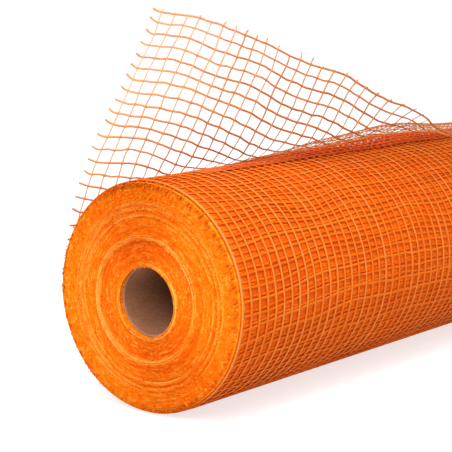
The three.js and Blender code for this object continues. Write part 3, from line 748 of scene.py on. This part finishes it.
# along the sheet, from their short ends past the last cross yarn down to the roll
cols = np.arange(0, 100)
tip = rng.choice([0.1, 0.16, 0.25, 0.4, 0.5], 100, p=[0.3, 0.25, 0.2, 0.15, 0.1])
tip[:20] = [0.2, 0.08, 0.1, 0.28, 0.1, 0.5, 0.5, 0.5, 0.35, 0.45, 0.38, 0.06, 0.8, 0.72, 0.2, 0.15, 0.3, 0.2, 0.15, 0.2]
vs = np.concatenate([[-1.0, -0.5], np.arange(0, V_END + 0.01, 0.5)])
VV, UU = np.meshgrid(vs, cols.astype(float))
UUe, VVe = shifted(UU, VV)
VVe = np.where(VV < 0, VV * tip[:, None], VV)
UUe = UUe + np.where(VV < 0, -VV, 0) * rng.normal(0.05, 0.06, (100, 1))
P, N = sheet_frame(UUe.ravel(), VVe.ravel())
P = P.reshape(100, len(vs), 3)
N = N.reshape(P.shape)
P = P + N * (0.00010 * np.cos(np.pi * (UU + VV + 1)))[..., None]
bt.strands(P, N, 0.00056 * rng.uniform(0.85, 1.2, (100, 1)), 0.00026, 4,
           tone=paler(UU, 0.45, rng.uniform(-0.15, 0.15, (100, 1))), mat=1)
# the coating gathered at the crossings
UU, VV = np.meshgrid(np.arange(0, 50.0), rows.astype(float))
u0, v0 = UU.ravel(), VV.ravel()
ue, ve = shifted(u0, v0)
C0, N0 = sheet_frame(ue, ve)
T0 = unit(sheet_points(ue + 0.2, ve) - C0)
T0 = unit(T0 - N0 * (T0 * N0).sum(-1, keepdims=True))
size = 0.0010 * rng.uniform(0.8, 1.25, len(u0))
kk = np.array([-1.0, -0.55, 0.55, 1.0])
P = C0[:, None] + T0[:, None] * (kk[None] * size[:, None] * 1.15)[..., None]
prof = np.array([0.35, 0.95, 0.95, 0.35])
bt.strands(P, np.repeat(N0[:, None], 4, 1), size[:, None] * prof, 0.00042 * prof * np.ones((len(u0), 1)), 4,
           tone=paler(u0, 0.5, rng.uniform(-0.2, 0.2, len(u0)))[:, None] * np.ones((1, 4)), mat=2)
free_end = bt.make("free_end_net", MAT_FREE_B, MAT_FREE_A, MAT_KNOT)
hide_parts("mesh_free_end")


# ------------------------------------------------------------------ the slack turns under it
def slack_turn(bt, frac, seed, phase, mat=0, step=1.0):
    """A turn that has come a little loose over the crest, between the tight roll and the last turn."""
    rng = np.random.default_rng(seed)
    ug = np.arange(0, 80, 2.0)
    ag = np.radians(np.arange(-10, 156, 3.0))
    vg = np.linspace(-0.5, 24, 140)
    H = np.zeros((len(ug), len(ag)))
    for i, u in enumerate(ug):
        q = sheet_points(np.full(len(vg), u), vg) - np.array([0, 0, AXIS_Z])
        an = np.arctan2(q[:, 2], q[:, 1])
        rr = np.hypot(q[:, 1], q[:, 2])
        for j, a_ in enumerate(ag):
            near = np.abs(an - a_) < 0.06
            H[i, j] = (rr[near].min() if near.any() else 0.12) - 0.0893
    H = np.clip(H, 0, 0.016)
    win = np.cos(np.clip((np.degrees(ag) - 56) / 44, -1, 1) * np.pi / 2) ** 1.0
    along = np.clip((ug - 6) / 12, 0, 1)
    along = along ** 2 * (3 - 2 * along) * (1 - np.clip((ug - 60) / 12, 0, 1))
    H = H * win[None] * along[:, None] * frac

    def pts(u, a_):
        fi, fj = np.clip(u / 2.0, 0, len(ug) - 1.001), np.clip((a_ - ag[0]) / (ag[1] - ag[0]), 0, len(ag) - 1.001)
        i, j = fi.astype(int), fj.astype(int)
        x, y = fi - i, fj - j
        h = H[i, j] * (1 - x) * (1 - y) + H[i + 1, j] * x * (1 - y) + H[i, j + 1] * (1 - x) * y + H[i + 1, j + 1] * x * y
        r = 0.0890 + h
        return np.stack([(u + 0.5) * CELL - HALF, r * np.cos(a_), AXIS_Z + r * np.sin(a_)], -1)

    wob = waves(rng, 0.10, 14.0, 9.0)
    us = np.arange(6, 72.1, 1.0)
    rows = np.arange(0, 13, step) + phase
    UU, VV = np.meshgrid(us, rows)
    A = np.radians(14) + (VV + wob(UU, VV)) * CELL / 0.0915
    P = pts(UU.ravel(), A.ravel()).reshape(len(rows), len(us), 3)
    N = np.stack([0 * A, np.cos(A), np.sin(A)], -1)
    bt.strands(P, N, 0.00085, 0.00025, 4, tone=rng.uniform(0.3, 0.7, len(rows)), mat=mat)
    cols = np.arange(7, 72)
    as_ = np.radians(np.arange(12, 98, 4.0))
    A, UU = np.meshgrid(as_, cols + 0.0)
    UUe = UU + wob(UU, A * 9)
    P = pts(UUe.ravel(), A.ravel()).reshape(len(cols), len(as_), 3)
    N = np.stack([0 * A, np.cos(A), np.sin(A)], -1)
    bt.strands(P, N, 0.00060, 0.00022, 4, tone=rng.uniform(0.3, 0.7, len(cols)), mat=mat)


bt = Batch()
slack_turn(bt, 0.16, 90, 0.55)
slack_turn(bt, 0.34, 91, 0.2)
slack_turn(bt, 0.52, 92, 0.7)
slack_turn(bt, 0.70, 93, 0.45, 1, 0.5)
slack_turn(bt, 0.88, 94, 0.1, 1, 0.5)
slack = bt.make("slack_turns", MAT_SLACK, MAT_SLACK_O)


# ------------------------------------------------------------------ floor, light and camera
def stage():
    me = bpy.data.meshes.new("floor")
    me.from_pydata([(-9, -9, 0), (9, -9, 0), (9, 9, 0), (-9, 9, 0)], [], [(0, 1, 2, 3)])
    m, nt, b, out = new_mat("floor")
    b.inputs["Base Color"].default_value = (0.36, 0.36, 0.36, 1)
    b.inputs["Emission Color"].default_value = (1, 1, 1, 1)
    b.inputs["Emission Strength"].default_value = 0.70
    b.inputs["Roughness"].default_value = 0.9
    b.inputs["Specular IOR Level"].default_value = 0.1
    me.materials.append(m)
    o = bpy.data.objects.new("floor", me)
    o.location.z = -0.0003
    bpy.context.scene.collection.objects.link(o)


stage()
sc = bpy.context.scene
sc.view_settings.view_transform = "Standard"
sc.view_settings.look = "None"
world = bpy.data.worlds.new("surroundings")
sc.world = world
world.use_nodes = True
world.node_tree.nodes["Background"].inputs[0].default_value = (1, 1, 1, 1)
world.node_tree.nodes["Background"].inputs[1].default_value = 1.02


def area(name, loc, target, size, power, col=(1, 1, 1)):
    d = bpy.data.lights.new(name, "AREA")
    d.shape = "DISK"
    d.size = size
    d.energy = power
    d.color = col
    o = bpy.data.objects.new(name, d)
    o.location = loc
    o.rotation_mode = "QUATERNION"
    o.rotation_quaternion = (Vector(target) - Vector(loc)).to_track_quat("-Z", "Y")
    sc.collection.objects.link(o)


area("key", (-1.35, -0.35, 0.85), (-0.42, 0, 0.1), 0.8, 11.8)
area("top", (-0.55, -0.3, 1.6), (-0.35, 0, 0.1), 1.1, 20)

yaw, pitch = math.radians(38.31), math.radians(8.79)
fw = Vector((math.cos(yaw) * math.cos(pitch), math.sin(yaw) * math.cos(pitch), -math.sin(pitch)))
rt = fw.cross(Vector((0, 0, 1))).normalized()
up = rt.cross(fw)
cam = bpy.data.cameras.new("camera")
cam.sensor_width = 36
cam.lens = 1545.1 / 452 * 36
cam.clip_start, cam.clip_end = 0.05, 60
co = bpy.data.objects.new("camera", cam)
rot = Matrix((rt, up, -fw)).transposed().to_4x4()
co.matrix_world = Matrix.Translation(Vector((-0.852 - HALF, -0.75, 0.23 + AXIS_Z))) @ rot
sc.collection.objects.link(co)
sc.camera = co
